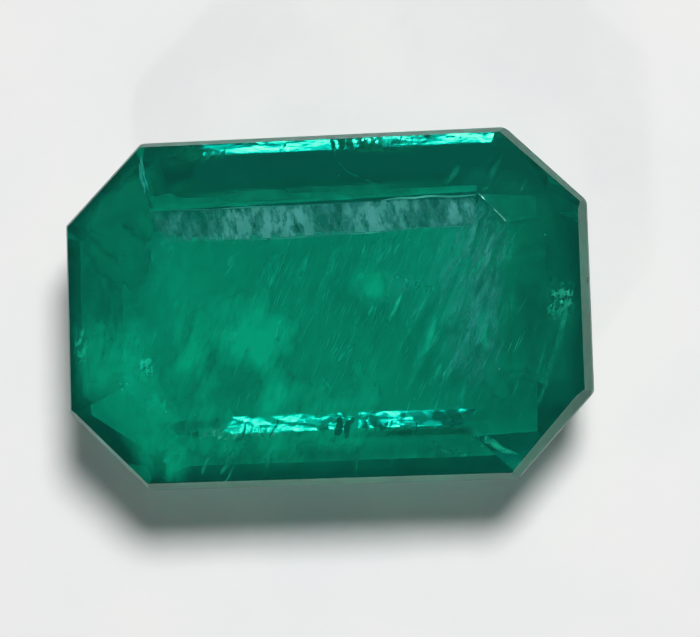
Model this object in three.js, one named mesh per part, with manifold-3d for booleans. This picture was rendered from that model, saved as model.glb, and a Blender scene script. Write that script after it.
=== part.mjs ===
// An emerald-cut emerald: a long eight-sided stone with flat steps, lying face up on the flat facet at its base.
// Units are millimetres and degrees. +X runs along the stone, +Y across it and +Z up through the table.
// The stone is cut as a lapidary cuts it: a rough block loses whatever lies beyond each facet's plane in turn.
import * as THREE from "three";
import { mergeVertices } from "three/addons/utils/BufferGeometryUtils.js";
import Module from "manifold-3d";

const wasm = await Module();
wasm.setup();

// Heights above the base facet
const STEP_EDGE = 1.48;
const GIRDLE_FOOT = 3.89;
const GIRDLE_TOP = 4.14;
const CROWN_EDGE = 4.64;
const TABLE = 5.66;

// How far the steep band under the crown leans in between the girdle and the crown facets
const BAND_LEAN = 0.16;

// The eight sides, with the direction each faces (turn, counted from +X towards +Y) and how far its
// facets stand from the stone's axis at the girdle, at the table's edge, at the edge between the two
// steps below the girdle, and at the base facet. The crown facets were cut a little askew, so they
// have a turn of their own.
const SIDES = [
  { turn: 0.3, girdle: 7.5, crownTurn: 0.5, table: 5.5, step: 6.86, base: 4.87 },
  { turn: 46, girdle: 7.18, crownTurn: 43, table: 5.46, step: 6.23, base: 5.4 },
  { turn: 89.9, girdle: 4.92, crownTurn: 90.9, table: 2.95, step: 3.93, base: 2.34 },
  { turn: 134.9, girdle: 7.18, crownTurn: 133.6, table: 5.23, step: 6.37, base: 5.07 },
  { turn: 179.6, girdle: 7.5, crownTurn: 179.3, table: 5.54, step: 6.7, base: 4.6 },
  { turn: 224.9, girdle: 7.2, crownTurn: 227, table: 5.3, step: 6.26, base: 5.52 },
  { turn: 269.8, girdle: 4.94, crownTurn: 270.1, table: 3.46, step: 3.96, base: 2.88 },
  { turn: 316.6, girdle: 7.26, crownTurn: 313, table: 5.27, step: 6.47, base: 5.75 },
];

// The corners of the girdle are worn round
const CORNER_RADIUS = 0.34;
const CORNER_CUTS = 3;

// Small shell-shaped chips on the girdle: the side they are on, how far along it from the middle of
// the side (counted the way the sides go round), their height, and the size and depth of the flake
const CHIPS = [
  { side: 0, along: 0.45, height: 4.36, radius: 0.42, depth: 0.075 },
  { side: 0, along: -1.7, height: 4.57, radius: 0.2, depth: 0.04 },
  { side: 2, along: -0.35, height: 4.44, radius: 0.3, depth: 0.05 },
  { side: 4, along: 1.25, height: 4.54, radius: 0.24, depth: 0.045 },
  { side: 5, along: -0.55, height: 4.29, radius: 0.26, depth: 0.05 },
  { side: 7, along: -0.75, height: 4.34, radius: 0.5, depth: 0.08 },
];
const CHIP_ROWS = 8;
const CHIP_COLUMNS = 14;

// The rough block is larger than the stone all round
const ROUGH = 40;

const EMERALD_GREEN = 0x00785a;

// A closed geometry as a solid. Only the position attribute is kept, so that shared corners merge.
function solidFrom(geometry) {
  geometry.deleteAttribute("normal");
  geometry.deleteAttribute("uv");
  const merged = mergeVertices(geometry, 1e-5);
  return new wasm.Manifold(
    new wasm.Mesh({
      numProp: 3,
      vertProperties: new Float32Array(merged.attributes.position.array),
      triVerts: new Uint32Array(merged.index.array),
    }),
  );
}

// A solid as a geometry with flat faces
function geometryFrom(solid) {
  const mesh = solid.getMesh();
  const geometry = new THREE.BufferGeometry();
  geometry.setAttribute("position", new THREE.BufferAttribute(mesh.vertProperties, 3));
  geometry.setIndex(new THREE.BufferAttribute(mesh.triVerts, 1));
  const flat = geometry.toNonIndexed();
  flat.computeVertexNormals();
  return flat;
}

// The outward direction of a side, seen from above
function outward(turn) {
  const angle = THREE.MathUtils.degToRad(turn);
  return new THREE.Vector3(Math.cos(angle), Math.sin(angle), 0);
}

// The plane of a facet that faces turn, and stands reachLow from the axis at heightLow and reachHigh
// at heightHigh
function facetPlane(turn, reachLow, heightLow, reachHigh, heightHigh) {
  const rise = heightHigh - heightLow;
  const run = reachLow - reachHigh;
  const normal = outward(turn).multiplyScalar(rise);
  normal.z = run;
  normal.normalize();
  const point = outward(turn).multiplyScalar(reachLow);
  point.z = heightLow;
  return new THREE.Plane().setFromNormalAndCoplanarPoint(normal, point);
}

// What the stone loses to a facet: a block whose inner face lies on the plane
function beyond(plane) {
  const block = new THREE.BoxGeometry(ROUGH * 2, ROUGH * 4, ROUGH * 4);
  block.translate(ROUGH, 0, 0);
  const lean = new THREE.Quaternion().setFromUnitVectors(new THREE.Vector3(1, 0, 0), plane.normal);
  block.applyQuaternion(lean);
  const foot = plane.normal.clone().multiplyScalar(-plane.constant);
  block.translate(foot.x, foot.y, foot.z);
  return solidFrom(block);
}

// The planes of one side: two steps of the pavilion, the upright girdle, the steep band and the crown
function sidePlanes({ turn, girdle, crownTurn, table, step, base }) {
  return [
    facetPlane(turn, base, 0, step, STEP_EDGE),
    facetPlane(turn, step, STEP_EDGE, girdle, GIRDLE_FOOT),
    facetPlane(turn, girdle, GIRDLE_FOOT, girdle, GIRDLE_TOP),
    facetPlane(turn, girdle, GIRDLE_TOP, girdle - BAND_LEAN, CROWN_EDGE),
    facetPlane(crownTurn, girdle - BAND_LEAN, CROWN_EDGE, table, TABLE),
  ];
}

// The upright planes that round off the girdle between two sides: they touch a circle set into the corner
function cornerPlanes(one, next) {
  const a = outward(one.turn);
  const b = outward(next.turn);
  const spread = a.x * b.y - a.y * b.x;
  const inA = one.girdle - CORNER_RADIUS;
  const inB = next.girdle - CORNER_RADIUS;
  const centre = new THREE.Vector3((inA * b.y - inB * a.y) / spread, (inB * a.x - inA * b.x) / spread, 0);
  const planes = [];
  for (let k = 1; k <= CORNER_CUTS; k++) {
    const normal = a.clone().lerp(b, k / (CORNER_CUTS + 1));
    normal.normalize();
    const touch = centre.clone().addScaledVector(normal, CORNER_RADIUS);
    planes.push(new THREE.Plane().setFromNormalAndCoplanarPoint(normal, touch));
  }
  return planes;
}

// A chip is a ball that dips into the girdle by the flake's depth
function chipSolid({ side, along, height, radius, depth }) {
  const { turn, girdle } = SIDES[side];
  const ball = new THREE.SphereGeometry(radius, CHIP_COLUMNS, CHIP_ROWS);
  const centre = outward(turn).multiplyScalar(girdle + radius - depth);
  centre.addScaledVector(outward(turn + 90), along);
  ball.rotateX(along + height);
  ball.translate(centre.x, centre.y, height);
  return solidFrom(ball);
}

// The whole stone, with its base facet at z = 0
function cutStone() {
  const rough = new THREE.BoxGeometry(ROUGH, ROUGH, TABLE);
  rough.translate(0, 0, TABLE / 2);
  let stone = solidFrom(rough);
  SIDES.forEach((side, i) => {
    const next = SIDES[(i + 1) % SIDES.length];
    for (const plane of [...sidePlanes(side), ...cornerPlanes(side, next)]) {
      stone = stone.subtract(beyond(plane));
    }
  });
  for (const chip of CHIPS) {
    stone = stone.subtract(chipSolid(chip));
  }
  return stone;
}

// The origin is under the middle of the stone, on the base facet
function centred(geometry) {
  geometry.computeBoundingBox();
  const middle = geometry.boundingBox.getCenter(new THREE.Vector3());
  geometry.translate(-middle.x, -middle.y, -geometry.boundingBox.min.z);
  return geometry;
}

const polished = new THREE.MeshStandardMaterial({
  color: EMERALD_GREEN,
  roughness: 0.05,
  metalness: 0,
});

const emerald = new THREE.Mesh(centred(geometryFrom(cutStone())), polished);
emerald.name = "emerald";

const part = new THREE.Group();
part.add(emerald);

export default part;
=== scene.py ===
"""A loose emerald-cut emerald lying face up on a pale studio floor.

Lengths are metres, and the lists of flaws inside the stone are in millimetres. The stone's long axis is X,
its width Y, and its table faces up, along Z.
"""

import math

import bmesh
import bpy
import numpy as np
from mathutils import Matrix, Vector


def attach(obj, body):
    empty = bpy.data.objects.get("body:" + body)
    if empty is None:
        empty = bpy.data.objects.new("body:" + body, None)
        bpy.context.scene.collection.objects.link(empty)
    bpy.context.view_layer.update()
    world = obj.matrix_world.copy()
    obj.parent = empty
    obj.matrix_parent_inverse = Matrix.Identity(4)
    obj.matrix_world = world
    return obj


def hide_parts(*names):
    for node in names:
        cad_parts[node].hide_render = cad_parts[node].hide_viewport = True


MM = 0.001

# The stone's own levels above its base facet, in millimetres
GIRDLE_FOOT = 3.89
GIRDLE_Z = 4.13
TABLE_Z = 5.66

# The crystal: how it bends light, and what a metre of it takes from each colour (the density times one
# less the colour)
EMERALD_IOR = 1.577
ABSORB_DENSITY = 730.0
ABSORB_COLOUR = (0.05, 0.907, 0.905, 1.0)
# The colour of the clear crystal, and of the ground band where it is palest: worn, and with painted light on
# the sides that face +X and +Y
CRYSTAL_GREEN = (0.20, 0.87, 0.66, 1.0)
WORN_AND_LIT_PALE = (0.75, 0.97, 0.92, 1.0)
# The share of the light that passes straight through; the crystal's fine flaws scatter the rest back
CLEAR_SHARE = 0.94
# How dull the ground band, the dull patch and the lower half are, and how high the surface's unevenness is
GROUND_ROUGHNESS = 0.38
DULL_ROUGHNESS = 0.5
LOWER_ROUGHNESS = 0.02
BUMP_HEIGHT = 0.009 * MM

# The stone's copy: points closer than this are one, faces that turn less than this are one facet, and
# edges sharper than this are worn to this width
MERGE_DISTANCE = 2e-7
FLAT_ANGLE = math.radians(0.4)
SHARP_ANGLE = math.radians(14)
WORN_WIDTH = 0.025 * MM
# Facets larger than this many square millimetres keep the flaws in, by so many millimetres
LEAST_FACET = 0.2
FILM_MARGIN = 0.05
GRAIN_MARGIN = 0.06

# The photograph's camera: how it leans off the vertical, its roll, and how far it stands from the girdle's
# centre. The picture's width, its middle, the girdle's centre and the focal length are in pixels.
LEAN_X = math.radians(11.13)
LEAN_Y = math.radians(3.2)
ROLL = math.radians(1.81)
CAMERA_DISTANCE = 155.2 * MM
SENSOR = 36.0
PICTURE_WIDTH = 700.0
PICTURE_MIDDLE = (350.0, 318.5)
GIRDLE_CENTRE = (326.37, 309.69)
FOCAL_PIXELS = 5500.0
FOCAL = SENSOR * FOCAL_PIXELS / PICTURE_WIDTH
SHIFT_X = (PICTURE_MIDDLE[0] - GIRDLE_CENTRE[0]) / PICTURE_WIDTH
SHIFT_Y = (GIRDLE_CENTRE[1] - PICTURE_MIDDLE[1]) / PICTURE_WIDTH

# The lamps stand this far from the point that they face. Each has a name, its azimuth and height in
# degrees, its width and length, and its radiance. The key lights the whole stone. The small ones stand
# where facets of the -Y and +Y sides mirror them to the camera.
LAMP_DISTANCE = 0.35
LAMP_AIM = Vector((0, 0, 0.004))
LAMPS = [
    ("key", 50, 65, 0.10, 0.10, 54.5),
    ("left window", -105.3, 39.8, 0.023, 0.007, 125.0),
    ("right window", -101.8, 40, 0.017, 0.007, 95.0),
    ("upper left window", -107.4, 44.7, 0.027, 0.008, 75.0),
    ("lamp", -106.6, 44.7, 0.008, 0.006, 600.0),
    ("upper right window", -104.4, 45.0, 0.010, 0.006, 110.0),
]

# The flaws run along one direction of the crystal, turned this far from +X towards +Y
GRAIN_TURN = math.radians(67)
ALONG_GRAIN = np.array([math.cos(GRAIN_TURN), math.sin(GRAIN_TURN)])

# Fibrous ribbons: points along each one (x, y), how deep it lies under the table, its width, and how
# strong it is. All are drawn wider and stronger than listed, and faint ones are scattered among them.
RIBBON_WIDER = 1.3
RIBBON_STRONGER = 1.5
FAINT_RIBBONS = 110
RIBBONS = [
    ([(0.66, 1.98), (0.30, 1.15), (-0.05, 0.30)], 1.4, 0.14, 0.50),
    ([(-0.09, 1.97), (-0.62, 1.15), (-0.72, 0.60)], 1.8, 0.16, 0.40),
    ([(1.35, 1.87), (1.09, 1.03)], 1.2, 0.12, 0.36),
    ([(2.14, 2.06), (1.56, 1.02)], 1.1, 0.16, 0.46),
    ([(1.75, 2.00), (1.25, 1.03)], 1.1, 0.12, 0.36),
    ([(2.48, 0.67), (2.26, 0.18), (1.82, -0.68)], 1.0, 0.10, 0.75),
    ([(1.53, 0.17), (1.28, -0.35)], 1.3, 0.08, 0.60),
    ([(4.27, 1.05), (3.78, 0.16), (2.96, -1.11), (2.39, -2.30)], 1.1, 0.34, 0.60),
    ([(3.52, 1.70), (3.35, 1.17)], 0.9, 0.10, 0.46),
    ([(4.91, 1.56), (4.09, 0.22), (3.44, -0.82)], 0.9, 0.36, 0.55),
    ([(4.71, 0.35), (4.52, -0.86), (4.81, -1.48)], 0.9, 0.40, 0.60),
    ([(3.41, -1.58), (3.00, -2.40)], 1.2, 0.12, 0.55),
    ([(3.75, -1.45), (3.25, -2.30)], 1.3, 0.10, 0.45),
    ([(0.80, -1.02), (0.31, -1.61)], 1.5, 0.16, 0.42),
    ([(0.15, -1.60), (-0.10, -2.21)], 1.4, 0.14, 0.42),
    ([(3.80, 3.50), (3.50, 3.05)], 0.9, 0.07, 0.5),
    ([(4.90, 3.30), (4.60, 2.90)], 0.9, 0.08, 0.5),
    ([(5.95, 3.35), (5.55, 2.85)], 1.1, 0.07, 0.45),
    ([(6.90, 0.00), (6.62, -1.25), (6.20, -2.30), (5.85, -3.10)], 1.1, 0.26, 0.60),
    ([(-1.45, -3.50), (-1.85, -4.60)], 1.1, 0.12, 0.5),
    ([(-2.60, -3.60), (-3.10, -4.55)], 1.1, 0.18, 0.42),
    ([(-1.08, 1.92), (-1.71, 0.50)], 2.0, 0.34, 0.34),
    ([(0.51, 1.71), (0.05, 0.66)], 1.6, 0.16, 0.34),
    ([(2.93, -3.52), (3.29, -3.99), (3.90, -4.10), (4.36, -4.08)], 1.1, 0.12, 0.55),
    ([(4.12, -3.45), (4.75, -3.94), (5.39, -4.31)], 1.1, 0.14, 0.5),
    ([(1.14, 0.89), (2.00, 0.86), (3.12, 0.44), (3.70, 0.64)], 1.3, 0.18, 0.5),
    ([(-3.30, -3.70), (-3.62, -4.50)], 1.0, 0.16, 0.4),
    ([(-0.90, -3.70), (-1.25, -4.50)], 1.0, 0.10, 0.35),
    ([(0.95, -3.70), (0.74, -4.60)], 1.0, 0.12, 0.35),
    ([(1.95, -3.60), (1.80, -4.50)], 1.0, 0.18, 0.35),
    ([(4.10, 3.80), (3.70, 3.10)], 0.9, 0.14, 0.4),
    ([(5.20, 3.95), (4.70, 3.20)], 1.0, 0.16, 0.4),
]

# Clouds of fine flaws: middle (x, y), depth under the table, half length along the grain, half width
# across it, and how strong it is
CLOUDS = [
    ((4.75, 0.30), 0.7, 2.3, 0.9, 0.34),
    ((3.50, -0.70), 1.1, 2.0, 0.8, 0.28),
    ((1.70, 0.55), 1.5, 0.7, 1.0, 0.35),
    ((0.60, 1.20), 1.9, 1.4, 1.7, 0.22),
    ((-3.00, 0.20), 2.8, 2.2, 2.1, 0.22),
    ((1.00, -1.70), 2.4, 1.1, 2.6, 0.24),
    ((6.30, -1.40), 1.4, 1.9, 0.6, 0.30),
    ((5.60, 2.00), 1.4, 1.2, 0.9, 0.26),
    ((-6.30, 0.60), 1.8, 1.6, 0.7, 0.22),
    ((0.00, 0.00), 3.5, 2.6, 5.2, 0.20),
]

# Films close under the top: four corners in turn (x, y), depth, and how strong its left and right ends are
# Frost films: a mottled pale strip under the +Y edge of the table, partly frost and partly painted light, for
# the light let in by the dull low facet of the +Y side
FROST_AND_PAINTED_LIGHT = [
    ([(-4.75, 2.88), (4.66, 2.93), (4.68, 2.06), (-4.45, 1.93)], 0.09, 0.7, 1.0),
    ([(-2.60, 2.80), (4.66, 2.90), (4.60, 2.12), (-2.00, 2.00)], 0.22, 0.3, 0.8),
]
LACE = [
    ([(3.20, 2.75), (5.60, 2.80), (5.30, -0.90), (3.30, -0.90)], 0.22, 0.5, 1.0),
    ([(3.60, 0.80), (5.50, 0.60), (5.35, -2.60), (3.10, -2.60)], 0.30, 0.5, 0.9),
    ([(1.80, 2.10), (4.60, 2.10), (4.20, -0.60), (1.60, -0.60)], 0.40, 0.3, 0.7),
    ([(4.00, 3.75), (5.95, 3.60), (5.50, 1.90), (4.00, 2.20)], 0.80, 0.7, 0.8),
]
# Speckled patches
SPECKLED = [
    ([(6.25, 0.45), (7.20, 0.55), (7.15, -0.60), (6.30, -0.70)], 1.00, 1.0, 1.0),
    ([(-7.25, -0.10), (-6.60, -0.15), (-6.70, -1.45), (-7.20, -1.30)], 1.15, 0.7, 0.5),
    ([(-5.25, -1.15), (-4.80, -1.20), (-4.85, -1.80), (-5.30, -1.75)], 1.00, 1.4, 1.4),
    ([(-3.60, -3.20), (-0.80, -3.20), (-0.90, -3.60), (-3.60, -3.64)], 0.30, 0.5, 0.5),
    ([(0.60, 4.74), (3.40, 4.76), (3.40, 4.44), (0.60, 4.40)], 1.10, 0.5, 0.5),
]
# Films of painted light: bright green sheets that hold more light than the crystal round them, as if light
# pooled there, most of all towards -X and -Y
PAINTED_LIGHT_FILMS = [
    ([(-5.80, 1.60), (3.00, 0.80), (3.80, -4.20), (-5.80, -4.20)], 2.20, 1.9, 1.3),
    ([(-7.30, 0.80), (-5.00, 0.80), (-4.40, -3.10), (-7.20, -2.90)], 1.30, 1.2, 1.0),
    ([(-7.10, -1.60), (-5.20, -1.20), (-3.70, -3.20), (-5.00, -4.70)], 1.40, 1.5, 1.5),
    ([(-7.20, -1.20), (-5.00, -0.90), (-3.90, -3.00), (-5.20, -4.80)], 1.20, 1.3, 1.3),
    ([(-4.50, -3.40), (-3.80, -3.45), (-4.20, -4.90), (-4.90, -4.90)], 1.00, 0.9, 1.1),
    ([(0.60, 1.25), (2.10, 1.05), (2.50, -0.05), (0.90, 0.15)], 1.00, 1.5, 1.5),
    ([(-7.40, -1.90), (-5.40, -1.20), (-3.80, -2.90), (-4.90, -5.00)], 0.50, 0.6, 0.6),
    ([(-7.40, 0.20), (-5.80, 0.20), (-5.60, -2.60), (-7.40, -2.40)], 0.80, 0.5, 0.5),
]
# Fine pale lines under the top, the first and the third a painted highlight along the +Y edge of the table:
# points along each one (x, y), depth, width, and how strong it is
PALE_LINES_AND_EDGE_HIGHLIGHT = [
    ([(1.90, 2.91), (3.20, 2.94), (4.64, 2.96)], 0.06, 0.06, 3.0),
    ([(-2.20, 1.96), (0.50, 2.02), (2.60, 2.03), (4.60, 2.10)], 0.10, 0.05, 0.4),
    ([(-4.70, 2.86), (-1.50, 2.88), (1.80, 2.91)], 0.08, 0.03, 0.4),
    ([(-5.11, 4.60), (-5.06, 4.07), (-4.87, 3.30)], 1.00, 0.12, 0.7),
]
# Dark cracks that cross the bright reflections: points along each one (x, y), depth, width, strength
CRACKS = [
    ([(0.42, 4.80), (0.50, 4.24), (0.93, 3.68), (2.35, 3.00)], 0.80, 0.06, 0.4),
    ([(-2.36, -3.66), (-2.16, -3.35), (-2.00, -3.06)], 0.14, 0.06, 0.9),
    ([(-1.44, -3.66), (-1.32, -3.35), (-1.18, -3.06)], 0.14, 0.05, 0.9),
    ([(0.42, -3.68), (0.52, -3.35), (0.66, -3.06)], 0.16, 0.20, 0.8),
    ([(0.66, -3.68), (0.80, -3.35), (0.98, -3.06)], 0.18, 0.18, 0.8),
    ([(0.36, 4.86), (0.44, 4.60), (0.50, 4.34)], 1.08, 0.16, 0.9),
    ([(0.62, 4.86), (0.70, 4.60), (0.66, 4.34)], 1.10, 0.26, 0.9),
    ([(0.92, 4.86), (0.88, 4.60), (1.00, 4.34)], 1.12, 0.24, 0.8),
    ([(1.16, 4.86), (1.24, 4.60), (1.20, 4.34)], 1.10, 0.14, 0.7),
]
# Rows of fine dark streaks across the bright reflections: from and to (x, y), depth and how many
STREAKS = [
    ((-4.2, 4.60), (0.4, 4.58), 1.08, 7),
    ((1.3, 4.62), (5.0, 4.64), 1.08, 18),
    ((1.1, -3.40), (4.0, -3.42), 0.16, 9),
    ((-3.6, -3.45), (0.0, -3.45), 0.16, 3),
]
# Dark films of painted shade: sheets that darken and narrow the bright reflections, and darken the crown
# towards -Y and the +X side with its +Y corner
PAINTED_SHADE_FILMS = [
    ([(-4.90, 4.86), (-1.20, 4.54), (-1.20, 4.20), (-4.90, 4.20)], 1.08, 0.75, 0.7),
    ([(0.30, 4.66), (5.30, 4.68), (5.30, 4.20), (0.30, 4.15)], 1.08, 0.8, 0.8),
    ([(-4.80, -3.02), (-2.60, -3.02), (-2.80, -3.20), (-4.50, -3.50)], 0.14, 0.25, 0.25),
    ([(0.50, -3.50), (4.80, -3.42), (4.90, -3.80), (0.40, -3.80)], 0.14, 0.75, 0.75),
    ([(2.20, -3.00), (4.95, -3.00), (4.90, -3.40), (2.40, -3.24)], 0.14, 0.6, 0.7),
    ([(-3.90, -3.70), (4.70, -3.66), (4.80, -4.80), (-4.00, -4.80)], 0.80, 0.5, 0.5),
    ([(3.90, 3.70), (6.50, 3.60), (7.10, 1.20), (4.60, 1.60)], 1.30, 0.7, 1.0),
    ([(5.00, 2.20), (7.20, 2.00), (7.20, -2.40), (5.20, -2.60)], 1.35, 0.4, 0.6),
]
# Murky films of dense flaws in the corners, along the +Y crown and towards +X: they blur the facets' inner
# reflections, in a dim green that is painted shade, the level of the crystal round them
MURK_AND_PAINTED_SHADE = [
    ([(-4.90, 3.40), (4.80, 3.46), (4.70, 2.98), (-4.70, 2.92)], 0.40, 0.7, 0.6),
    ([(-7.20, 2.60), (-5.00, 4.70), (-4.10, 2.90), (-5.50, 1.30)], 1.25, 1.2, 1.2),
    ([(-7.30, 2.80), (-4.70, 2.50), (-4.70, -0.20), (-7.30, -0.20)], 1.25, 1.0, 1.0),
    ([(4.00, 3.30), (6.90, 3.10), (6.90, -2.80), (4.20, -3.10)], 1.50, 1.2, 1.3),
    ([(4.20, 3.70), (6.60, 3.70), (7.10, 1.00), (5.20, 1.20)], 0.60, 0.25, 0.25),
    ([(4.90, 1.80), (7.20, 1.80), (7.20, -3.20), (4.90, -3.20)], 1.00, 0.3, 0.3),
]

# How many needles and dust grains there are, and the lone grains: place (x, y), depth under the table
# and size
NEEDLES = 320
DUST = 260
GRAINS = [
    (-5.03, -1.45, 1.0, 0.10),
    (-5.63, -1.91, 1.0, 0.05),
    (-4.52, -2.74, 1.0, 0.03),
    (2.60, 1.81, 1.0, 0.035),
    (6.32, 1.80, 1.0, 0.04),
    (5.15, 2.17, 1.0, 0.03),
    (5.03, -1.90, 1.0, 0.04),
    (2.60, -2.65, 1.0, 0.03),
    (6.75, -0.10, 1.0, 0.09),
    (6.95, 0.18, 1.0, 0.06),
]


# ---------------------------------------------------------------- small helpers


def new_material(name):
    """A node material with an empty tree and its output node."""
    material = bpy.data.materials.new(name)
    material.use_nodes = True
    tree = material.node_tree
    tree.nodes.clear()
    return material, tree, tree.nodes.new("ShaderNodeOutputMaterial")


def put(tree, target, value):
    """A socket's value: a plain one, or a link from another node's socket."""
    if isinstance(value, bpy.types.NodeSocket):
        tree.links.new(value, target)
    else:
        target.default_value = value


def math_step(tree, operation, a, b):
    """One step of arithmetic on plain numbers or sockets."""
    node = tree.nodes.new("ShaderNodeMath")
    node.operation = operation
    put(tree, node.inputs[0], a)
    put(tree, node.inputs[1], b)
    return node.outputs["Value"]


def span(tree, value, low, high, to_low=0.0, to_high=1.0):
    """A smooth step of a value between low and high."""
    node = tree.nodes.new("ShaderNodeMapRange")
    node.interpolation_type = "SMOOTHSTEP"
    put(tree, node.inputs["Value"], value)
    for name, number in (("From Min", low), ("From Max", high), ("To Min", to_low), ("To Max", to_high)):
        put(tree, node.inputs[name], number)
    return node.outputs["Result"]


def noise(tree, vector, scale, detail, roughness=0.5):
    """A noise from 0 to 1 of the given place."""
    node = tree.nodes.new("ShaderNodeTexNoise")
    put(tree, node.inputs["Vector"], vector)
    put(tree, node.inputs["Scale"], scale)
    node.inputs["Detail"].default_value = detail
    node.inputs["Roughness"].default_value = roughness
    return node.outputs["Fac"]


def mixed(tree, factor, one, other):
    """A colour between two. The node's colour sockets share their names with others, so they are
    counted."""
    factor_at, one_at, other_at, result_at = 0, 6, 7, 2
    node = tree.nodes.new("ShaderNodeMix")
    node.data_type = "RGBA"
    put(tree, node.inputs[factor_at], factor)
    put(tree, node.inputs[one_at], one)
    put(tree, node.inputs[other_at], other)
    return node.outputs[result_at]


def add_object(name, mesh, material=None):
    """A mesh as an object of the scene, with its material."""
    obj = bpy.data.objects.new(name, mesh)
    bpy.context.scene.collection.objects.link(obj)
    if material is not None:
        mesh.materials.append(material)
    return obj


def mesh_from_arrays(name, points, faces, uv=None, strength=None):
    """A mesh from points in millimetres, faces of equal size, and one UV pair and one strength a point."""
    mesh = bpy.data.meshes.new(name)
    points = np.asarray(points, dtype=np.float64) * MM
    faces = np.asarray(faces, dtype=np.int32)
    corners = faces.shape[1]
    mesh.vertices.add(len(points))
    mesh.vertices.foreach_set("co", points.ravel())
    mesh.loops.add(faces.size)
    mesh.loops.foreach_set("vertex_index", faces.ravel())
    mesh.polygons.add(len(faces))
    mesh.polygons.foreach_set("loop_start", np.arange(len(faces)) * corners)
    mesh.polygons.foreach_set("use_smooth", np.full(len(faces), uv is not None))
    if uv is not None:
        layer = mesh.uv_layers.new(name="sheet")
        layer.uv.foreach_set("vector", np.asarray(uv)[faces.ravel()].ravel())
    if strength is not None:
        attribute = mesh.attributes.new("strength", "FLOAT", "POINT")
        attribute.data.foreach_set("value", np.asarray(strength, dtype=np.float64))
    mesh.update()
    mesh.validate()
    return mesh


def grid_faces(rows, columns):
    """The four-cornered faces of a grid of points stored row by row."""
    r, c = np.meshgrid(np.arange(rows - 1), np.arange(columns - 1), indexing="ij")
    first = (r * columns + c).ravel()
    return np.stack([first, first + 1, first + columns + 1, first + columns], 1)


def large_facets(mesh):
    """The outward normals of the stone's facets larger than LEAST_FACET, and how far each one's plane
    stands from the origin, in millimetres."""
    big = [p for p in mesh.polygons if p.area > LEAST_FACET * MM * MM]
    normals = np.array([p.normal for p in big])
    reach = np.array([p.normal.dot(p.center) for p in big]) / MM
    return normals, reach


def kept_inside(points, facets, margin):
    """The points, each that lies within margin of a facet's plane, or past it, moved in along the facet's
    normal. Four passes settle the points near edges."""
    normals, reach = facets
    points = np.array(points, dtype=float)
    for _ in range(4):
        over = points @ normals.T - reach + margin
        worst = over.argmax(1)
        push = np.clip(over[np.arange(len(points)), worst], 0, None)
        points -= push[:, None] * normals[worst]
    return points


# ---------------------------------------------------------------- shader groups


def node_group(name, inputs, outputs):
    """An empty shader group with those sockets. inputs are (name, type, value)."""
    group = bpy.data.node_groups.new(name, "ShaderNodeTree")
    for label, kind, value in inputs:
        socket = group.interface.new_socket(label, in_out="INPUT", socket_type=kind)
        if value is not None:
            socket.default_value = value
    for label, kind in outputs:
        group.interface.new_socket(label, in_out="OUTPUT", socket_type=kind)
    return group, group.nodes.new("NodeGroupInput"), group.nodes.new("NodeGroupOutput")


def grain_cloud_group():
    """Streaky cloudiness drawn out along a grain: a noise read with its coordinates turned and squeezed
    along the grain, cut between Low and High, times a coarser noise for blotches."""
    group, start, end = node_group(
        "grain cloud",
        [
            ("Vector", "NodeSocketVector", None),
            ("Turn", "NodeSocketVector", (0, 0, 0)),
            ("Scale", "NodeSocketFloat", 1500.0),
            ("Squeeze", "NodeSocketVector", (0.15, 1, 0.5)),
            ("Low", "NodeSocketFloat", 0.4),
            ("High", "NodeSocketFloat", 0.7),
            ("Blotches", "NodeSocketFloat", 420.0),
        ],
        [("Mask", "NodeSocketFloat")],
    )
    nodes, links = group.nodes, group.links
    turned = nodes.new("ShaderNodeMapping")
    links.new(start.outputs["Vector"], turned.inputs["Vector"])
    links.new(start.outputs["Turn"], turned.inputs["Rotation"])
    squeeze = nodes.new("ShaderNodeVectorMath")
    squeeze.operation = "MULTIPLY"
    links.new(turned.outputs["Vector"], squeeze.inputs[0])
    links.new(start.outputs["Squeeze"], squeeze.inputs[1])
    fine = noise(group, squeeze.outputs["Vector"], start.outputs["Scale"], 5.0, 0.62)
    coarse = noise(group, start.outputs["Vector"], start.outputs["Blotches"], 2.0)
    cut = span(group, fine, start.outputs["Low"], start.outputs["High"])
    blotch = span(group, coarse, 0.36, 0.62, 0.3, 1.0)
    links.new(math_step(group, "MULTIPLY", cut, blotch), end.inputs["Mask"])
    return group


def grain_cloud(tree, group, vector, turn, scale, squeeze, low, high, blotches):
    """The grain cloud group placed in a material with its own values."""
    node = tree.nodes.new("ShaderNodeGroup")
    node.node_tree = group
    put(tree, node.inputs["Vector"], vector)
    for label, value in (
        ("Turn", turn),
        ("Scale", scale),
        ("Squeeze", squeeze),
        ("Low", low),
        ("High", high),
        ("Blotches", blotches),
    ):
        node.inputs[label].default_value = value
    return node.outputs["Mask"]


# ---------------------------------------------------------------- the stone


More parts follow.
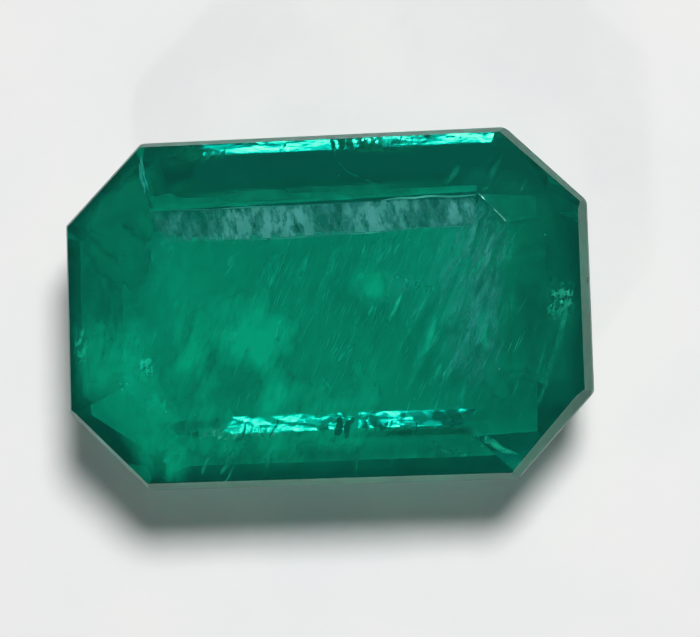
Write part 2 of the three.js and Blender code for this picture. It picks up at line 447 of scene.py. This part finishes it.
def emerald_material(grain):
    """Clear green crystal: polished facets, with the girdle and the band above it ground dull, a dull
    mottled patch on the low facet of the +Y side, and a lower half polished less finely than the top."""
    material, tree, out = new_material("clear emerald crystal")
    nodes, links = tree.nodes, tree.links
    shader = nodes.new("ShaderNodeBsdfPrincipled")
    shader.inputs["IOR"].default_value = EMERALD_IOR
    shader.inputs["Transmission Weight"].default_value = CLEAR_SHARE
    volume = nodes.new("ShaderNodeVolumeAbsorption")
    volume.inputs["Color"].default_value = ABSORB_COLOUR
    volume.inputs["Density"].default_value = ABSORB_DENSITY

    place = nodes.new("ShaderNodeTexCoord").outputs["Object"]
    split = nodes.new("ShaderNodeSeparateXYZ")
    links.new(place, split.inputs["Vector"])
    face = nodes.new("ShaderNodeNewGeometry")
    facing = nodes.new("ShaderNodeSeparateXYZ")
    links.new(face.outputs["True Normal"], facing.inputs["Vector"])
    x, y, z = split.outputs
    nx, ny, nz = facing.outputs

    def both(a, b, operation="MULTIPLY"):
        """Two values combined."""
        return math_step(tree, operation, a, b)

    # The ground band: faces that stand nearly upright, between the girdle's foot and the crown
    upright = both(span(tree, nz, -0.3, -0.2), span(tree, nz, 0.4, 0.55, 1.0, 0.0))
    ground = both(upright, span(tree, z, (GIRDLE_FOOT - 0.05) * MM, GIRDLE_FOOT * MM))
    # The dull patch, on the lowest facet of the +Y side
    low_facet = both(span(tree, ny, 0.55, 0.65), span(tree, nz, -0.65, -0.55, 1.0, 0.0))
    columns = grain_cloud(tree, grain, place, (0, 0, 0), 3600.0, (1, 0.35, 0.35), 0.42, 0.6, 1200.0)
    dull = both(low_facet, columns)
    lower_half = span(tree, nz, -0.2, -0.1, 1.0, 0.0)
    scratches = noise(tree, place, 5200.0, 4.0)

    rough = both(ground, GROUND_ROUGHNESS)
    rough = both(rough, both(dull, DULL_ROUGHNESS), "MAXIMUM")
    rough = both(rough, both(lower_half, LOWER_ROUGHNESS), "MAXIMUM")
    rough = both(rough, span(tree, scratches, 0.4, 0.75, 0.015, 0.045), "ADD")
    links.new(rough, shader.inputs["Roughness"])

    # The ground band is paler than the clear crystal in worn patches, and most of all on the sides that face
    # +X and +Y, where the extra paleness is painted light
    # side: painted light, the band painted paler towards +X and +Y as if lit there, and greener towards -X
    # and -Y
    side = span(tree, both(nx, ny, "ADD"), -0.3, 0.5, 0.15, 1.0)
    worn = both(both(ground, side), span(tree, scratches, 0.3, 0.7, 0.3, 0.6))
    links.new(mixed(tree, worn, CRYSTAL_GREEN, WORN_AND_LIT_PALE), shader.inputs["Base Color"])

    swell = noise(tree, place, 700.0, 3.0)
    grit = noise(tree, place, 16000.0, 3.0)
    height = both(swell, both(both(grit, 0.25), ground), "ADD")
    bump = nodes.new("ShaderNodeBump")
    bump.inputs["Strength"].default_value = 1.0
    bump.inputs["Distance"].default_value = BUMP_HEIGHT
    links.new(height, bump.inputs["Height"])
    links.new(bump.outputs["Normal"], shader.inputs["Normal"])

    links.new(shader.outputs["BSDF"], out.inputs["Surface"])
    links.new(volume.outputs["Volume"], out.inputs["Volume"])
    return material


def stone_copy(node, name, material):
    """The cut stone with its flat facets whole: a merged copy of the solid, with faces in one plane
    joined and the upper edges worn."""
    mesh = node.data.copy()
    mesh.materials.clear()
    bm = bmesh.new()
    bm.from_mesh(mesh)
    bmesh.ops.remove_doubles(bm, verts=bm.verts, dist=MERGE_DISTANCE)
    bmesh.ops.dissolve_limit(bm, angle_limit=FLAT_ANGLE, verts=bm.verts, edges=bm.edges)
    worn = bm.edges.layers.float.new("bevel_weight_edge")
    for edge in bm.edges:
        upper = min(vert.co.z for vert in edge.verts) > (GIRDLE_FOOT - 0.01) * MM
        edge[worn] = float(upper and edge.calc_face_angle(0) > SHARP_ANGLE)
    bm.to_mesh(mesh)
    bm.free()
    for polygon in mesh.polygons:
        polygon.use_smooth = False
    stone = add_object(name, mesh, material)
    bevel = stone.modifiers.new("worn edges", "BEVEL")
    bevel.width = WORN_WIDTH
    bevel.segments = 1
    bevel.limit_method = "WEIGHT"
    return stone


# ---------------------------------------------------------------- inside the stone


def film_group(cloud):
    """How much a thin film covers what lies behind it, and its tint. The cover is the grain cloud times the
    film's strength times a rise from the sheet's rim, the least of 1 and Rim times 16 u (1-u) v (1-v) of
    its UV. The tint is a coarser noise."""
    group, start, end = node_group(
        "streaky film",
        [
            ("Vector", "NodeSocketVector", None),
            ("UV", "NodeSocketVector", None),
            ("Strength", "NodeSocketFloat", 1.0),
            ("Turn", "NodeSocketVector", (0, 0, 0)),
            ("Scale", "NodeSocketFloat", 1500.0),
            ("Squeeze", "NodeSocketVector", (0.15, 1, 0.5)),
            ("Low", "NodeSocketFloat", 0.4),
            ("High", "NodeSocketFloat", 0.7),
            ("Rim", "NodeSocketFloat", 1.0),
            ("Most", "NodeSocketFloat", 1.0),
        ],
        [("Cover", "NodeSocketFloat"), ("Tint", "NodeSocketFloat")],
    )
    nodes, links = group.nodes, group.links
    split = nodes.new("ShaderNodeSeparateXYZ")
    links.new(start.outputs["UV"], split.inputs["Vector"])

    def product(*values):
        """All the values multiplied."""
        result = values[0]
        for value in values[1:]:
            result = math_step(group, "MULTIPLY", result, value)
        return result

    u, v = split.outputs["X"], split.outputs["Y"]
    rest_u, rest_v = math_step(group, "SUBTRACT", 1.0, u), math_step(group, "SUBTRACT", 1.0, v)
    rim = math_step(group, "MINIMUM", product(u, rest_u, v, rest_v, 16.0, start.outputs["Rim"]), 1.0)
    streaks = nodes.new("ShaderNodeGroup")
    streaks.node_tree = cloud
    for label in ("Vector", "Turn", "Scale", "Squeeze", "Low", "High"):
        links.new(start.outputs[label], streaks.inputs[label])
    film = product(rim, start.outputs["Strength"], streaks.outputs["Mask"], start.outputs["Most"])
    links.new(math_step(group, "MINIMUM", film, 1.0), end.inputs["Cover"])
    coarse = noise(group, start.outputs["Vector"], product(start.outputs["Scale"], 0.4), 3.0)
    links.new(span(group, coarse, 0.35, 0.65), end.inputs["Tint"])
    return group


def film_material(group, name, pale, dim, most, scale, squeeze, low, high, turn=-GRAIN_TURN, rim=1.0):
    """A thin healed crack or a layer of fine flaws: a film that lets light by, in streaks along the grain."""
    material, tree, out = new_material(name)
    nodes, links = tree.nodes, tree.links
    shader = nodes.new("ShaderNodeBsdfPrincipled")
    shader.inputs["Roughness"].default_value = 0.7
    shader.inputs["Specular IOR Level"].default_value = 0.0
    film = nodes.new("ShaderNodeGroup")
    film.node_tree = group
    sheet = nodes.new("ShaderNodeUVMap")
    sheet.uv_map = "sheet"
    strength = nodes.new("ShaderNodeAttribute")
    strength.attribute_name = "strength"
    for label, value in (
        ("Vector", nodes.new("ShaderNodeTexCoord").outputs["Object"]),
        ("UV", sheet.outputs["UV"]),
        ("Strength", strength.outputs["Fac"]),
        ("Turn", (0, 0, turn)),
        ("Scale", scale),
        ("Squeeze", squeeze),
        ("Low", low),
        ("High", high),
        ("Rim", rim),
        ("Most", most),
    ):
        put(tree, film.inputs[label], value)
    links.new(film.outputs["Cover"], shader.inputs["Alpha"])
    links.new(mixed(tree, film.outputs["Tint"], dim, pale), shader.inputs["Base Color"])
    links.new(shader.outputs["BSDF"], out.inputs["Surface"])
    return material


def grain_material():
    """White grains and needles of another mineral."""
    material, tree, out = new_material("pale mineral grains")
    shader = tree.nodes.new("ShaderNodeBsdfPrincipled")
    shader.inputs["Roughness"].default_value = 0.35
    place = tree.nodes.new("ShaderNodeTexCoord").outputs["Object"]
    colour = mixed(tree, noise(tree, place, 9000.0, 2.0), (0.45, 0.75, 0.62, 1), (0.95, 1.0, 0.98, 1))
    tree.links.new(colour, shader.inputs["Base Color"])
    tree.links.new(shader.outputs["BSDF"], out.inputs["Surface"])
    return material


def path_through(points, count):
    """count points along a smooth curve through the given ones: straight stretches by length, with the
    corners rounded by averaging each point with its neighbours 3 times."""
    points = np.array(points, dtype=float)
    length = np.concatenate([[0], np.cumsum(np.linalg.norm(np.diff(points, axis=0), axis=1))])
    s = np.linspace(0, length[-1], count)
    path = np.stack([np.interp(s, length, points[:, k]) for k in range(points.shape[1])], 1)
    for _ in range(3):
        path[1:-1] = 0.25 * path[:-2] + 0.5 * path[1:-1] + 0.25 * path[2:]
    return path


def ribbon(points, depth, width, rng, columns=26, rows=7):
    """A thin ribbon along a path. Its point at s along the path and v from -1 to 1 across is
    path(s) + across(s) (v (width/2) w(s) + ripple(s)), at the ribbon's level + 0.3 v width w(s)
    + 0.1 sin(2 pi s + p), where w(s) = sin(pi s)^0.4 narrows its two ends and the ripple is the sum of
    three small sines."""
    path = path_through(points, columns)
    way = np.gradient(path, axis=0)
    way /= np.linalg.norm(way, axis=1)[:, None]
    across = np.stack([-way[:, 1], way[:, 0]], 1)
    s = np.linspace(0, 1, columns)
    taper = np.sin(np.pi * np.clip(s, 0.02, 0.98)) ** 0.4
    v = np.linspace(-1, 1, rows)[:, None]
    phases = rng.uniform(0, 2 * np.pi, 3)
    ripple = sum(np.sin(2 * np.pi * k * s + phases[k - 1]) / k for k in (1, 2, 3)) * 0.02
    plan = path[None] + across[None] * (v * width / 2 * taper + ripple)[..., None]
    level = TABLE_Z - depth + 0.3 * v * width * taper + 0.1 * np.sin(2 * np.pi * s + phases[0])
    sheet = np.concatenate([plan, level[..., None]], 2).reshape(-1, 3)
    uv = np.stack(np.broadcast_arrays(s[None], (v + 1) / 2), 2).reshape(-1, 2)
    return sheet, grid_faces(rows, columns), uv


def lying_film(corners, depth, left, right, columns=49, rows=13):
    """A nearly level film between four corners: the point at s, t from 0 to 1 is
    (1-t) ((1-s) c0 + s c1) + t ((1-s) c3 + s c2), at its depth + 0.02 sin(9s) sin(4t). Its strength
    goes smoothly from left to right."""
    s, t = np.meshgrid(np.linspace(0, 1, columns), np.linspace(0, 1, rows))
    c = np.array(corners, dtype=float)
    s3, t3 = s[..., None], t[..., None]
    plan = (1 - t3) * ((1 - s3) * c[0] + s3 * c[1]) + t3 * ((1 - s3) * c[3] + s3 * c[2])
    level = TABLE_Z - depth + 0.02 * np.sin(9 * s) * np.sin(4 * t)
    sheet = np.concatenate([plan, level[..., None]], 2).reshape(-1, 3)
    uv = np.stack([s, t], 2).reshape(-1, 2)
    strength = left + (right - left) * s * s * (3 - 2 * s)
    return sheet, grid_faces(rows, columns), uv, strength.ravel()


def cloud_sheet(middle, depth, half_length, half_width, rng, columns=25, rows=17):
    """A lying wavy sheet: the point at a, b from -1 to 1 is the middle + a half_length along the grain
    + b half_width across it, its height waved by 0.25 sin(3a + p) sin(2b + q) and leaning by
    0.2 (a cos r + b sin r)."""
    a, b = np.meshgrid(np.linspace(-1, 1, columns), np.linspace(-1, 1, rows))
    p, q, lean = rng.uniform(0, 2 * np.pi, 3)
    across = np.array([ALONG_GRAIN[1], -ALONG_GRAIN[0]])
    plan = np.array(middle) + a[..., None] * half_length * ALONG_GRAIN + b[..., None] * half_width * across
    wave = 0.25 * np.sin(3 * a + p) * np.sin(2 * b + q) + 0.2 * (a * math.cos(lean) + b * math.sin(lean))
    sheet = np.concatenate([plan, (TABLE_Z - depth + wave)[..., None]], 2).reshape(-1, 3)
    uv = np.stack([(a + 1) / 2, (b + 1) / 2], 2).reshape(-1, 2)
    return sheet, grid_faces(rows, columns), uv


def joined(parts):
    """Several sheets as one: points, faces, UVs and strengths run together."""
    start, points, faces, uvs, strengths = 0, [], [], [], []
    for sheet, cells, uv, strength in parts:
        points.append(sheet)
        faces.append(cells + start)
        uvs.append(uv)
        strengths.append(np.broadcast_to(strength, len(sheet)))
        start += len(sheet)
    return np.concatenate(points), np.concatenate(faces), np.concatenate(uvs), np.concatenate(strengths)


def sheet_object(name, parts, facets, material):
    """Several sheets as one object inside the stone."""
    points, faces, uv, strength = joined(parts)
    mesh = mesh_from_arrays(name, kept_inside(points, facets, FILM_MARGIN), faces, uv, strength)
    return add_object(name, mesh, material)


def lying_films(name, spots, facets, material):
    """Several nearly level films as one object."""
    return sheet_object(name, [lying_film(*spot) for spot in spots], facets, material)


def make_ribbons(facets, material):
    """All the fibrous ribbons, each with two thinner ones beside it, and a scatter of faint ones."""
    rng = np.random.default_rng(11)
    parts = []
    for points, depth, width, strength in RIBBONS:
        for part, share in ((1.0, 1.0), (0.55, 0.8), (0.4, 0.7)):
            beside = rng.normal(0, width, 2) * (part < 1)
            below = depth + 0.2 * (1 - part)
            sheet = ribbon(np.array(points) + beside, below, RIBBON_WIDER * width * part, rng)
            parts.append((*sheet, RIBBON_STRONGER * strength * share))
    for _ in range(FAINT_RIBBONS):
        middle = rng.uniform((-5.0, -2.8), (5.4, 2.4))
        half = rng.uniform(0.2, 0.75) * (ALONG_GRAIN + rng.normal(0, 0.08, 2))
        size = rng.uniform((0.8, 0.05), (3.4, 0.24))
        sheet = ribbon([middle - half, middle + half], *size, rng, 14, 5)
        parts.append((*sheet, rng.uniform(0.1, 0.32)))
    return sheet_object("fibre_ribbons", parts, facets, material)


def make_threads(name, paths, facets, material, rows=()):
    """Lone ribbons along the given paths, and rows of short random ones across the given lines."""
    rng = np.random.default_rng(31)
    parts = [(*ribbon(points, depth, width, rng), strength) for points, depth, width, strength in paths]
    for start, end, depth, count in rows:
        for along in np.sort(rng.uniform(0, 1, count)):
            middle = np.array(start) + along * (np.array(end) - np.array(start)) + rng.normal(0, 0.05, 2)
            half = np.array([rng.normal(0.05, 0.06), rng.uniform(0.10, 0.24)])
            sheet = ribbon([middle - half, middle + half], depth, rng.uniform(0.03, 0.08), rng, 10, 5)
            parts.append((*sheet, rng.uniform(0.2, 0.7)))
    return sheet_object(name, parts, facets, material)


def make_clouds(facets, material):
    """The lying sheets of cloudiness."""
    rng = np.random.default_rng(23)
    parts = [(*cloud_sheet(*cloud[:4], rng), cloud[4]) for cloud in CLOUDS]
    return sheet_object("flaw_clouds", parts, facets, material)


def octahedra(middles, halves):
    """Small eight-faced grains: each has a point at its middle plus and minus each of its three half axes.
    halves holds three vectors a grain."""
    signs = np.repeat(np.eye(3), 2, axis=0) * np.tile([1, -1], 3)[:, None]
    points = middles[:, None, :] + np.einsum("ck,nkd->ncd", signs, halves)
    cells = np.array([(0, 2, 4), (2, 1, 4), (1, 3, 4), (3, 0, 4), (2, 0, 5), (1, 2, 5), (3, 1, 5), (0, 3, 5)])
    faces = cells[None] + 6 * np.arange(len(middles))[:, None, None]
    return points.reshape(-1, 3), faces.reshape(-1, 3)


def turned_axes(rng, count, way, spread):
    """count sets of three square axes whose first one points along way, off by a random spread."""
    first = np.array(way) + rng.normal(0, spread, (count, 3))
    first /= np.linalg.norm(first, axis=1)[:, None]
    second = np.cross(first, rng.normal(0, 1, (count, 3)))
    second /= np.linalg.norm(second, axis=1)[:, None]
    return np.stack([first, second, np.cross(first, second)], 1)


def make_needles(facets, material):
    """Fine needles along the grain, densest towards +X: octahedra drawn out 13 to 125 times."""
    rng = np.random.default_rng(5)
    x = 5.6 - 9.0 * rng.beta(1.2, 2.0, NEEDLES)
    middles = np.stack([x, rng.uniform(-2.9, 2.6, NEEDLES), TABLE_Z - rng.uniform(0.4, 3.2, NEEDLES)], 1)
    axes = turned_axes(rng, NEEDLES, (*ALONG_GRAIN, 0.0), 0.07)
    sizes = np.stack([rng.uniform(0.12, 0.5, NEEDLES), rng.uniform(0.004, 0.009, NEEDLES)], 1)
    points, faces = octahedra(middles, axes * sizes[:, [0, 1, 1]][..., None])
    mesh = mesh_from_arrays("mineral_needles", kept_inside(points, facets, GRAIN_MARGIN), faces)
    return add_object("mineral_needles", mesh, material)


def make_grains(facets, material):
    """The lone grains, with a dust of tiny ones."""
    rng = np.random.default_rng(8)
    dust = rng.uniform((-6.0, -3.4, TABLE_Z - 3.6), (6.6, 3.4, TABLE_Z - 0.4), (DUST, 3))
    lone = np.array([(x, y, TABLE_Z - depth) for x, y, depth, _ in GRAINS])
    size = np.concatenate([[g[3] for g in GRAINS], 0.008 + 0.02 * rng.beta(1, 3, DUST)])
    middles = np.concatenate([lone, dust])
    axes = turned_axes(rng, len(middles), (0, 0, 0), 1.0)
    shape = rng.uniform(0.5, 1.0, (len(middles), 3, 1))
    points, faces = octahedra(middles, axes * shape * size[:, None, None])
    mesh = mesh_from_arrays("mineral_grains", kept_inside(points, facets, GRAIN_MARGIN), faces)
    return add_object("mineral_grains", mesh, material)


# ---------------------------------------------------------------- the studio


def floor_material():
    """Pale matt surface with a faint cloudiness."""
    material, tree, out = new_material("pale matt floor")
    nodes, links = tree.nodes, tree.links
    shader = nodes.new("ShaderNodeBsdfPrincipled")
    shader.inputs["Roughness"].default_value = 0.9
    shader.inputs["Specular IOR Level"].default_value = 0.2
    place = nodes.new("ShaderNodeTexCoord").outputs["Object"]
    clouds = span(tree, noise(tree, place, 190.0, 5.0, 0.55), 0.35, 0.68)
    colour = mixed(tree, clouds, (0.79, 0.79, 0.795, 1), (0.85, 0.845, 0.835, 1))
    links.new(colour, shader.inputs["Base Color"])
    links.new(shader.outputs["BSDF"], out.inputs["Surface"])
    return material


def make_floor():
    """A flat square under the stone, 20 micrometres below its base facet so that air lies between them."""
    size, drop = 1.5, 0.02 * MM
    mesh = bpy.data.meshes.new("floor")
    corners = [(-size, -size, -drop), (size, -size, -drop), (size, size, -drop), (-size, size, -drop)]
    mesh.from_pydata(corners, [], [(0, 1, 2, 3)])
    add_object("floor", mesh, floor_material())


def softbox(name, azimuth, height, width, length, radiance):
    """An oval lamp that faces the stone."""
    lamp = bpy.data.lights.new(name, "AREA")
    lamp.shape = "ELLIPSE"
    lamp.size, lamp.size_y = width, length
    lamp.energy = radiance * math.pi * width * length * math.pi / 4
    obj = bpy.data.objects.new(name, lamp)
    a, e = math.radians(azimuth), math.radians(height)
    way = Vector((math.cos(a) * math.cos(e), math.sin(a) * math.cos(e), math.sin(e)))
    place = LAMP_AIM + way * LAMP_DISTANCE
    obj.matrix_world = Matrix.Translation(place) @ way.to_track_quat("Z", "Y").to_matrix().to_4x4()
    bpy.context.scene.collection.objects.link(obj)


def make_world(above, low):
    """Dim light from all round, stronger near the horizon."""
    world = bpy.data.worlds.new("studio")
    world.use_nodes = True
    tree = world.node_tree
    back = tree.nodes["Background"]
    back.inputs["Color"].default_value = (0.96, 0.98, 1.0, 1)
    way = tree.nodes.new("ShaderNodeSeparateXYZ")
    tree.links.new(tree.nodes.new("ShaderNodeTexCoord").outputs["Generated"], way.inputs["Vector"])
    tree.links.new(span(tree, way.outputs["Z"], 0.0, 0.6, low, above), back.inputs["Strength"])
    bpy.context.scene.world = world


def make_camera():
    """The photograph's camera, nearly overhead and leaning a little towards +X and -Y."""
    data = bpy.data.cameras.new("camera")
    data.sensor_width = SENSOR
    data.lens = FOCAL
    data.shift_x, data.shift_y = SHIFT_X, SHIFT_Y
    data.clip_start, data.clip_end = 0.001, 10.0
    camera = bpy.data.objects.new("camera", data)
    back = Vector((math.tan(LEAN_X), -math.tan(LEAN_Y), 1.0)).normalized()
    hint = Vector((math.sin(ROLL), math.cos(ROLL), 0.0))
    right = hint.cross(back).normalized()
    up = back.cross(right)
    turn = Matrix((right, up, back)).transposed().to_4x4()
    camera.matrix_world = Matrix.Translation(Vector((0, 0, GIRDLE_Z * MM)) + back * CAMERA_DISTANCE) @ turn
    bpy.context.scene.collection.objects.link(camera)
    bpy.context.scene.camera = camera


# ---------------------------------------------------------------- the scene

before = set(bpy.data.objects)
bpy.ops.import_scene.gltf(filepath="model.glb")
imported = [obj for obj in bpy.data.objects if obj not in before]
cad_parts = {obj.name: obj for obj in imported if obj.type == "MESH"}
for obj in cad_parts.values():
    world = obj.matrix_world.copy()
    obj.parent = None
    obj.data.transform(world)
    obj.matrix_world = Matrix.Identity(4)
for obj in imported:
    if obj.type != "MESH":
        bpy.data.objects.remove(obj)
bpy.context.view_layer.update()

make_camera()
make_floor()
make_world(above=0.055, low=0.13)
for lamp in LAMPS:
    softbox(*lamp)

grain = grain_cloud_group()
emerald = stone_copy(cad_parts["emerald"], "emerald_stone", emerald_material(grain))
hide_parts("emerald")
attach(emerald, "root")
facets = large_facets(emerald.data)

film = film_group(grain)
fibre = film_material(
    film, "fibrous healed cracks", (0.92, 1.0, 0.86, 1), (0.55, 0.85, 0.68, 1),
    most=2.6, scale=4200.0, squeeze=(0.12, 1, 0.5), low=0.29, high=0.72,
)
haze = film_material(
    film, "cloud of fine flaws", (0.5, 0.9, 0.7, 1), (0.10, 0.45, 0.32, 1),
    most=2.0, scale=2600.0, squeeze=(0.3, 1, 0.6), low=0.3, high=0.72,
)
# Partly painted light: a pale, pinkish film that stands for light let in through the dull low facet of the +Y
# side
frost = film_material(
    film, "frost with painted light", (1.0, 0.66, 0.80, 1), (0.7, 0.52, 0.60, 1),
    most=2.6, scale=4600.0, squeeze=(1, 0.45, 1), low=0.28, high=0.74, turn=-0.25, rim=6.0,
)
lace = film_material(
    film, "lace of fine flaws", (1.0, 0.68, 0.80, 1), (0.55, 0.50, 0.52, 1),
    most=1.2, scale=4600.0, squeeze=(0.22, 1, 1), low=0.34, high=0.74, rim=1.5,
)
speckle = film_material(
    film, "speckled flaws", (0.95, 1.0, 0.90, 1), (0.5, 0.85, 0.7, 1),
    most=2.0, scale=8000.0, squeeze=(0.6, 1, 1), low=0.44, high=0.62, rim=1.5,
)
# Painted light: a bright green film that makes the crystal look more lit where it lies
painted_light = film_material(
    film, "painted light layer", (0.08, 0.92, 0.66, 1), (0.06, 0.78, 0.55, 1),
    most=1.0, scale=1900.0, squeeze=(0.3, 1, 1), low=0.05, high=0.75,
)
# Pale lines, and the painted highlight along the +Y edge of the table
line = film_material(
    film, "pale lines and painted edge highlight", (1.0, 0.85, 0.9, 1), (0.8, 0.7, 0.75, 1),
    most=3.0, scale=5200.0, squeeze=(1, 1, 1), low=0.25, high=0.5, turn=0.0, rim=3.0,
)
crack = film_material(
    film, "dark open cracks", (0.03, 0.26, 0.18, 1), (0.01, 0.14, 0.10, 1),
    most=3.0, scale=2600.0, squeeze=(0.5, 1, 1), low=0.2, high=0.5, rim=2.0,
)
# Partly painted shade: a cloudy film in the dim green of the shaded crystal, laid over inner reflections
murk = film_material(
    film, "murky flaws with painted shade", (0.05, 0.32, 0.23, 1), (0.04, 0.26, 0.19, 1),
    most=1.8, scale=3600.0, squeeze=(1, 0.3, 1), low=0.05, high=0.5, turn=0.12, rim=1.5,
)
# Painted shade: dark green sheets that darken the reflections and the crystal behind them
dark = film_material(
    film, "painted shade over reflections", (0.03, 0.22, 0.15, 1), (0.01, 0.13, 0.09, 1),
    most=1.6, scale=3600.0, squeeze=(0.4, 1, 1), low=0.12, high=0.6, rim=1.3,
)
mineral = grain_material()
for inside in (
    make_ribbons(facets, fibre),
    make_clouds(facets, haze),
    lying_films("frost_and_painted_light_films", FROST_AND_PAINTED_LIGHT, facets, frost),
    lying_films("flaw_lace", LACE, facets, lace),
    lying_films("speckled_patches", SPECKLED, facets, speckle),
    lying_films("painted_light_sheets", PAINTED_LIGHT_FILMS, facets, painted_light),
    lying_films("murky_painted_shade_sheets", MURK_AND_PAINTED_SHADE, facets, murk),
    lying_films("painted_shade_sheets", PAINTED_SHADE_FILMS, facets, dark),
    make_threads("pale_lines_and_edge_highlight", PALE_LINES_AND_EDGE_HIGHLIGHT, facets, line),
    make_threads("open_cracks", CRACKS, facets, crack, STREAKS),
    make_needles(facets, mineral),
    make_grains(facets, mineral),
):
    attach(inside, "root")

scene = bpy.context.scene
scene.view_settings.view_transform = "Khronos PBR Neutral"
scene.cycles.transparent_max_bounces = 32
